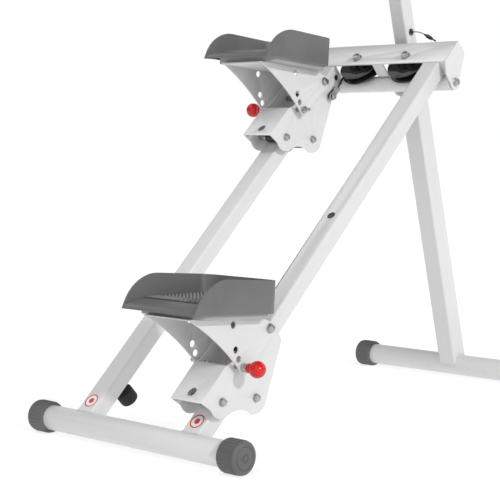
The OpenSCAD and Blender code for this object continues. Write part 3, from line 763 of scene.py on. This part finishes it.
class CLIMBER_OT_steelwork(bpy.types.Operator):
    """Round the edges of the painted steel and coat it"""
    bl_idname = "climber.steelwork"
    bl_label = "Steelwork"

    def execute(self, context):
        for node in ("front_base", "rear_base", "left_rail", "right_rail", "crossbeam", "beam_end_plates", "post",
                     "fold_tube", "fold_bracket", "mast", "handlebar", "console_bracket", "left_housing",
                     "right_housing", "left_bracket", "right_bracket"):
            dress(node, "paint", sizes().edge_round)
        return {"FINISHED"}


class CLIMBER_OT_welds(bpy.types.Operator):
    """Run the weld beads where tubes meet"""
    bl_idname = "climber.welds"
    bl_label = "Welds"

    def execute(self, context):
        proud = 0.0005
        post_half = 0.024
        for side, name in ((-1, "Left"), (1, "Right")):
            loop = [on_rail(side) @ Vector((x, math.sqrt(BASE_TUBE_R ** 2 - v ** 2) + proud, v))
                    for x, v in rectangle(RAIL_HALF_W, RAIL_HALF_D, 0.0055, 5)]
            bead(name + "_rail_weld", loop, "frame")
        loop = [ON_POST @ Vector((x, y, math.sqrt(BASE_TUBE_R ** 2 - y ** 2) + proud))
                for x, y in rectangle(post_half, post_half, 0.005, 6)]
        bead("Post_foot_weld", loop, "rear_frame", 1.15)
        return {"FINISHED"}


def rectangle(half_x, half_y, radius, steps):
    """Points round a rectangle with round corners, dense enough to wrap on a tube."""
    points = []
    for cx, cy, start in ((1, 1, 0), (-1, 1, 90), (-1, -1, 180), (1, -1, 270)):
        for k in range(steps + 1):
            a = math.radians(start + 90 * k / steps)
            points.append((cx * (half_x - radius) + radius * math.cos(a),
                           cy * (half_y - radius) + radius * math.sin(a)))
    dense = []
    for (x0, y0), (x1, y1) in zip(points, points[1:] + points[:1]):
        n = max(1, round(math.hypot(x1 - x0, y1 - y0) / 0.003))
        dense += [(x0 + (x1 - x0) * k / n, y0 + (y1 - y0) * k / n) for k in range(n)]
    return dense


class CLIMBER_OT_caps(bpy.types.Operator):
    """Mould the ribbed end caps of the base tubes"""
    bl_idname = "climber.caps"
    bl_label = "Base caps"

    def execute(self, context):
        for node, name in (("front_base_caps", "Front_base_caps"), ("rear_base_caps", "Rear_base_caps")):
            low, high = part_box(node)
            length, radius = 0.044, 0.0313
            profile = ([(0.0252, 0), (0.0300, 0), (0.0308, 0.0012), (radius, 0.003)]
                       + [(radius, length - 0.006)] + arc(radius - 0.005, length - 0.006, 0.005, 0, 80, 6)
                       + [(0.0235, length - 0.0010), (0.0225, length - 0.0022), (0.0205, length - 0.0022),
                          (0.0195, length - 0.0010), (0.0085, length - 0.0006), (0.0075, length - 0.0020),
                          (0.0055, length - 0.0020), (0.0045, length - 0.0004), (0.0, length - 0.0002)])
            parts = []
            for side in (-1, 1):
                start = Matrix.Translation((side * (high.x - length), (low.y + high.y) / 2, REAR.z))
                place = start @ Matrix.Rotation(side * math.pi / 2, 4, "Y")
                shell = turned(name, "cap", profile, place, 96)
                ribs = grow(name + "_ribs", "ring", "cap", place @ Matrix.Translation((0, 0, 0.0195)), 50,
                            Count=sizes().cap_ribs, Radius=radius - 0.0002, Bar=(0.0022, 0.0040, 0.032))
                parts += [shell, ribs]
            obj = joined(name, parts)
            for vertex in obj.data.vertices:
                vertex.co.z = max(vertex.co.z, 0.0)
            stand_in(obj, node)
        return {"FINISHED"}


class CLIMBER_OT_fasteners(bpy.types.Operator):
    """Round and plate the bolts, studs, nuts and lugs"""
    bl_idname = "climber.fasteners"
    bl_label = "Fasteners"

    def execute(self, context):
        for node in ("pulley_axles", "fold_bolts", "bumper_stub", "left_axles", "right_axles", "left_cable_lug",
                     "right_cable_lug", "left_pivot_bolts", "right_pivot_bolts"):
            dress(node, "zinc", 0.0006)
        return {"FINISHED"}


class CLIMBER_OT_fittings(bpy.types.Operator):
    """Finish the pulleys, rollers, bumper, sensor, plugs and guide"""
    bl_idname = "climber.fittings"
    bl_label = "Fittings"

    def execute(self, context):
        for node, look, width in (
                ("left_pulley", "black", 0.0009), ("right_pulley", "black", 0.0009), ("rail_sensor", "black", 0.0012),
                ("rail_plug", "black", 0.0006), ("mast_guide", "black", 0.0005), ("open_stop", "bumper", 0.0025),
                ("bumper", "bumper", 0.0030), ("lead_grommet", "black", 0.0005), ("lead_plug", "black", 0.0005),
                ("bar_plugs", "black", 0.0012)):
            dress(node, look, width)
        for side in ("left", "right"):
            for place in ("lower", "upper", "rear"):
                dress(f"{side}_{place}_roller", "nylon", 0.0010)
        return {"FINISHED"}


LIP_TOP, LIP_HALF, LIP_HEEL = 0.040, 0.0838, -0.215
TREAD_HEEL, TREAD_TOP = -0.192, 0.0502
DECK_SLOPE = math.atan2(9.5, 180)


class CLIMBER_OT_trays(bpy.types.Operator):
    """Mould the pedal trays, their lips and treads"""
    bl_idname = "climber.trays"
    bl_label = "Pedal trays"

    def execute(self, context):
        for side, word in ((-1, "left"), (1, "right")):
            place = on_pedal(side)
            shell = dress(word + "_tray", "tray", sizes().moulding_round, 3)
            shell.data.materials.append(finish("lip"))
            flat = place.inverted()
            for polygon in shell.data.polygons:
                spot = flat @ polygon.center
                if spot.z < LIP_TOP and abs(spot.x) < LIP_HALF and spot.y > LIP_HEEL:
                    polygon.material_index = 1
            mat = coat(rounded_copy(word + "_tread", "Mat", 0.0006), "tread")
            on_deck = place @ Matrix.Translation((0, TREAD_HEEL, TREAD_TOP)) @ Matrix.Rotation(DECK_SLOPE, 4, "X")
            ribs = grow("Ribs", "row", "rib", on_deck @ Matrix.Translation((-0.044, 0.006, 0)), 40,
                        Count=sizes().tread_ribs, Step=(0.0, 0.0080, 0.0), Rib=(0.078, 0.0042, 0.0034))
            near = grow("Near_studs", "studs", "rib", on_deck @ Matrix.Translation((0.040, 0.016, 0)), 80,
                        Wide=0.070, Long=0.024, Columns=8, Rows=3, Radius=sizes().tread_dot * 1.35, Rise=0.7)
            studs = grow("Studs", "studs", "rib", on_deck @ Matrix.Translation((0, 0.096, 0)), 80,
                         Wide=0.150, Long=0.104, Columns=17, Rows=12, Radius=sizes().tread_dot * 1.1, Rise=0.7)
            obj = joined(word.title() + "_tread", [mat, ribs, near, studs])
            stand_in(obj, word + "_tread")
        return {"FINISHED"}


PIN_ARM, PIN_ANGLE = 0.099, math.radians(225)
MAST_KNOB_UP = 0.740


def pull_knob(place):
    """The four parts of a pull knob, along Z of its place: pin, knurled collar and ball."""
    shank = turned("Shank", "zinc", [(0, 0.0404), (0.0030, 0.0404), (0.0040, 0.0418), (0.0040, 0.071), (0, 0.071)],
                   place, 32)
    collar = turned("Collar", "red", [(0, 0.0695), (0.0083, 0.0695), (0.0090, 0.0702), (0.0090, 0.0765),
                                      (0.0083, 0.0772), (0.0060, 0.0774), (0.0058, 0.0800), (0, 0.0800)], place, 48)
    ball = turned("Ball", "red", [(0, 0.0774), (0.0060, 0.0776)] + arc(0, 0.0925, 0.0162, -67, 82, 24)
                  + [(0.0016, 0.1086), (0, 0.1086)], place)
    knurl = grow("Knurl", "ring", "red", place @ Matrix.Translation((0, 0, 0.0733)), 50, Count=28,
                 Radius=0.0088, Bar=(0.0008, 0.0010, 0.0058))
    return [shank, collar, ball, knurl]


def mast_knob(place):
    """A seven-lobed clamp knob on its stem, along Z of its place."""
    body = turned("Knob", "black", [(0, 0.0195), (0.0048, 0.0195), (0.0048, 0.024), (0.0085, 0.024),
                                    (0.0090, 0.0245), (0.0090, 0.0330), (0.0130, 0.0340)]
                  + arc(0.0130, 0.0375, 0.0035, -90, 0, 5) + arc(0.0130, 0.0480, 0.0040, 0, 90, 5)
                  + [(0.0060, 0.0516), (0, 0.0512)], place)
    lobes = grow("Lobes", "ring", "black", place @ Matrix.Translation((0, 0, 0.0425)), 60, Count=7,
                 Radius=0.0150, Bar=(0.0078, 0.0078, 0.0150))
    return [body, lobes]


class CLIMBER_OT_knobs(bpy.types.Operator):
    """Turn the red pull knobs with their collars and pins, and the mast knob"""
    bl_idname = "climber.knobs"
    bl_label = "Knobs"

    def execute(self, context):
        for side, word in ((-1, "left"), (1, "right")):
            pin = Matrix.Translation((0, PIN_ARM * math.cos(PIN_ANGLE), PIN_ARM * math.sin(PIN_ANGLE)))
            place = on_pedal(side) @ pin @ Matrix.Rotation(math.pi / 2, 4, "Y")
            obj = joined(word.title() + "_pull_knob", pull_knob(place))
            stand_in(obj, word + "_pin")
        place = ON_POST @ Matrix.Translation((0, 0, MAST_KNOB_UP)) @ Matrix.Rotation(-math.pi / 2, 4, "X")
        stand_in(joined("Mast_knob", mast_knob(place)), "mast_knob")
        return {"FINISHED"}


def tube_along(name, finish_name, points, radius, sides=16):
    """A closed tube through points, with its run in a UV map: turn across, distance along."""
    bm = bmesh.new()
    layer = bm.loops.layers.uv.new("Run")
    rings, distance, run = [], [], 0.0
    side = None
    for k, point in enumerate(points):
        way = (points[min(k + 1, len(points) - 1)] - points[max(k - 1, 0)]).normalized()
        if side is None:
            side = way.orthogonal().normalized()
        side = (side - way * side.dot(way)).normalized()
        other = way.cross(side)
        rings.append([bm.verts.new(point + (side * math.cos(math.tau * j / sides)
                                            + other * math.sin(math.tau * j / sides)) * radius)
                      for j in range(sides)])
        if k:
            run += (point - points[k - 1]).length
        distance.append(run)
    for k in range(len(rings) - 1):
        for j in range(sides):
            after = (j + 1) % sides
            face = bm.faces.new((rings[k][j], rings[k][after], rings[k + 1][after], rings[k + 1][j]))
            corners = ((j, k), (j + 1, k), (j + 1, k + 1), (j, k + 1))
            for loop, (turn, row) in zip(face.loops, corners):
                loop[layer].uv = (turn / sides, distance[row])
            face.smooth = True
    bm.faces.new(list(reversed(rings[0])))
    bm.faces.new(rings[-1])
    return coat(from_bmesh(name, bm, Matrix.Identity(4)), finish_name)


PULLEY_X, PULLEY_U, PULLEY_GROOVE = 0.068, 1.074, 0.038
LUG_X, LUG_U = 0.1015, 0.312
CABLE_DEPTH, CABLE_R = -0.006, 0.0025


class CLIMBER_OT_cable(bpy.types.Operator):
    """Reeve the jacketed cable over the two pulleys"""
    bl_idname = "climber.cable"
    bl_label = "Cable"

    def execute(self, context):
        quarter = [(PULLEY_X + PULLEY_GROOVE * math.cos(math.radians(a)),
                    PULLEY_U + PULLEY_GROOVE * math.sin(math.radians(a))) for a in range(0, 91, 6)]
        over = ([(-x, u) for x, u in quarter]
                + [(x * PULLEY_X, PULLEY_U + PULLEY_GROOVE) for x in (-0.5, 0.0, 0.5)] + quarter[::-1])
        loop = tube_along("Cable_over_pulleys", "rope", [ON_RAILS @ Vector((x, u, CABLE_DEPTH)) for x, u in over],
                          CABLE_R)
        stand_in(loop, "cable_middle")
        high_x = PULLEY_X + PULLEY_GROOVE
        steps = 60
        for side, word, foot in ((-1, "left", LUG_U + STROKE), (1, "right", LUG_U)):
            line = [ON_RAILS @ Vector((side * (LUG_X + (high_x - LUG_X) * k / steps),
                                       foot + (PULLEY_U - foot) * k / steps, CABLE_DEPTH))
                    for k in range(steps + 1)]
            run = tube_along(f"Cable_{word}_run", "rope", line, CABLE_R)
            word + "_carriage"
            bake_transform(run)
            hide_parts("cable_" + word)
        return {"FINISHED"}


LEAD_UP = 0.835
# millimetres out of the mast and up from its outlet
LEAD_ROUTE = [(-3, 0), (0, 0), (5, 0), (10, 0), (15, -0.3), (20, -1), (25, -2.1), (30, -3.7), (34, -5.4), (38, -7.4)]


def smooth_curve(points, steps):
    """Points along the smooth curve that passes through the given ones."""
    fine = []
    for k in range(len(points) - 1):
        p0, p1, p2, p3 = (points[max(k - 1, 0)], points[k], points[k + 1], points[min(k + 2, len(points) - 1)])
        for j in range(steps):
            t = j / steps
            fine.append(0.5 * ((2 * p1) + (p2 - p0) * t + (2 * p0 - 5 * p1 + 4 * p2 - p3) * t * t
                               + (3 * p1 - p0 - 3 * p2 + p3) * t ** 3))
    return fine + [points[-1]]


class CLIMBER_OT_lead(bpy.types.Operator):
    """Hang the short sensor lead from the mast"""
    bl_idname = "climber.lead"
    bl_label = "Sensor lead"

    def execute(self, context):
        lean = math.acos(POST_UP.z)
        place = (ON_POST @ Matrix.Translation((MAST_HALF, 0, LEAD_UP)) @ Matrix.Rotation(-lean, 4, "X")
                 @ Matrix.Rotation(math.pi / 2, 4, "X"))
        fine = smooth_curve([place @ Vector((x / 1000, y / 1000, 0)) for x, y in LEAD_ROUTE], 4)
        lead = tube_along("Sensor_lead", "black", fine, 0.0011, 14)
        stand_in(lead, "sensor_lead")
        length = sum((b - a).length for a, b in zip(fine, fine[1:]))
        return {"FINISHED"}


GRIP_X, GRIP_Y = 0.210, -0.066


class CLIMBER_OT_handlebar(bpy.types.Operator):
    """Pull the ringed grips on to the handlebar"""
    bl_idname = "climber.handlebar"
    bl_label = "Hand grips"

    def execute(self, context):
        for side, word in ((-1, "left"), (1, "right")):
            grip_end = Matrix.Translation((side * GRIP_X, GRIP_Y, 0))
            place = ON_BAR @ grip_end @ Matrix.Rotation(math.pi / 2, 4, "X")
            length, radius, bore, rim = 0.127, 0.0166, 0.0141, 0.0165
            sleeve = turned("Sleeve", "grip", [(bore, 0), (rim, 0)] + arc(rim, 0.0015, 0.0014, -90, 0, 4)
                            + [(0.0179, 0.005), (radius, 0.0075), (radius, length - 0.0075), (0.0179, length - 0.005)]
                            + arc(rim, length - 0.0015, 0.0014, 0, 90, 4) + [(bore, length)], place)
            ring_start = 0.0105
            rings = grow("Rings", "hoops", "grip", place @ Matrix.Translation((0, 0, ring_start)), 80,
                         Count=sizes().grip_rings, Pitch=(length - 2 * ring_start) / (sizes().grip_rings - 1),
                         Radius=radius, Thick=0.0012)
            obj = joined(word.title() + "_hand_grip", [sleeve, rings])
            stand_in(obj, word + "_grip")
        return {"FINISHED"}


COUNTER = "1250"
STROKES = {"0": "abcdef", "1": "bc", "2": "abged", "5": "afgcd"}
DIGIT_W, DIGIT_H, DIGIT_LINE = 0.0085, 0.0150, 0.0014
DIGIT_START, DIGIT_STEP, PAIR_GAP = -0.0235, 0.0145, 0.004


def counter_digits():
    """Seven-bar digits in two pairs, flat on the window."""
    bars = bmesh.new()
    wide, tall = DIGIT_W, DIGIT_H
    segments = {"a": (0, tall / 2, 1), "g": (0, 0, 1), "d": (0, -tall / 2, 1), "f": (-wide / 2, tall / 4, 0),
                "b": (wide / 2, tall / 4, 0), "e": (-wide / 2, -tall / 4, 0), "c": (wide / 2, -tall / 4, 0)}
    for k, digit in enumerate(COUNTER):
        for stroke in STROKES[digit]:
            x, y, level = segments[stroke]
            size = (wide * 0.78, DIGIT_LINE, 0.0003) if level else (DIGIT_LINE, tall * 0.42, 0.0003)
            across = DIGIT_START + DIGIT_STEP * k + (PAIR_GAP if k > 1 else 0) + x
            place = Matrix.Translation((across, 0.0075 + y, 0.02065))
            bmesh.ops.create_cube(bars, size=1.0, matrix=place @ Matrix.Diagonal((*size, 1)))
    return coat(from_bmesh("Digits", bars, ON_CONSOLE), "digit")


class CLIMBER_OT_console(bpy.types.Operator):
    """Finish the console, its window, counter digits and button"""
    bl_idname = "climber.console"
    bl_label = "Console"

    def execute(self, context):
        dress("console", "shell", 0.0022, 3)
        window = coat(rounded_copy("console_screen", "Window", 0.0004), "glass")
        obj = joined("Console_window", [window, counter_digits()])
        stand_in(obj, "console_screen")
        dress("console_button", "red", 0.0018, 3)
        return {"FINISHED"}


LABEL_UP = 0.045
LABEL_R, BORDER_OUT, BORDER_IN, DOT_R = 0.0165, 0.0156, 0.0128, 0.0062
PRINT_LOW, PRINT_HIGH = 0.0001, 0.00026


class CLIMBER_OT_labels(bpy.types.Operator):
    """Stick a plain round label near the foot of each rail"""
    bl_idname = "climber.labels"
    bl_label = "Labels"

    def execute(self, context):
        parts = []
        for side in (-1, 1):
            place = on_rail(side) @ Matrix.Translation((0, LABEL_UP, RAIL_HALF_D))
            film = turned("Film", "label_white", [(0, 0), (LABEL_R, 0), (LABEL_R, 0.0002), (0, 0.0002)], place)
            border = turned("Border", "label_red", [
                (BORDER_IN, PRINT_LOW), (BORDER_OUT, PRINT_LOW), (BORDER_OUT, PRINT_HIGH), (BORDER_IN, PRINT_HIGH),
                (BORDER_IN, PRINT_LOW)], place)
            dot = turned("Dot", "label_red", [(0, PRINT_LOW), (DOT_R, PRINT_LOW), (DOT_R, PRINT_HIGH),
                                              (0, PRINT_HIGH)], place, 48)
            parts += [film, border, dot]
        stand_in(joined("Rail_labels", parts), "rail_labels")
        return {"FINISHED"}


class CLIMBER_PT_panel(bpy.types.Panel):
    """Lists the finishing steps"""
    bl_idname = "CLIMBER_PT_panel"
    bl_label = "Vertical climber"
    bl_space_type = "VIEW_3D"
    bl_region_type = "UI"
    bl_category = "Climber"

    def draw(self, context):
        for step in STEPS:
            self.layout.operator(step.bl_idname)
        for group in (context.scene.climber_sizes, context.scene.climber_colours):
            for name in group.__annotations__:
                self.layout.prop(group, name)


STEPS = (CLIMBER_OT_stage, CLIMBER_OT_steelwork, CLIMBER_OT_welds, CLIMBER_OT_caps, CLIMBER_OT_fasteners,
         CLIMBER_OT_fittings, CLIMBER_OT_trays, CLIMBER_OT_knobs, CLIMBER_OT_cable, CLIMBER_OT_lead,
         CLIMBER_OT_handlebar, CLIMBER_OT_console, CLIMBER_OT_labels)
CLASSES = (ClimberSizes, ClimberColours) + STEPS + (CLIMBER_PT_panel,)


def register():
    for cls in CLASSES:
        bpy.utils.register_class(cls)
    bpy.types.Scene.climber_sizes = bpy.props.PointerProperty(type=ClimberSizes)
    bpy.types.Scene.climber_colours = bpy.props.PointerProperty(type=ClimberColours)


def unregister():
    del bpy.types.Scene.climber_colours
    del bpy.types.Scene.climber_sizes
    for cls in reversed(CLASSES):
        bpy.utils.unregister_class(cls)


def main():
    register()
    for step in STEPS:
        group, name = step.bl_idname.split(".")
        getattr(getattr(bpy.ops, group), name)()


if __name__ == "__main__":
    main()
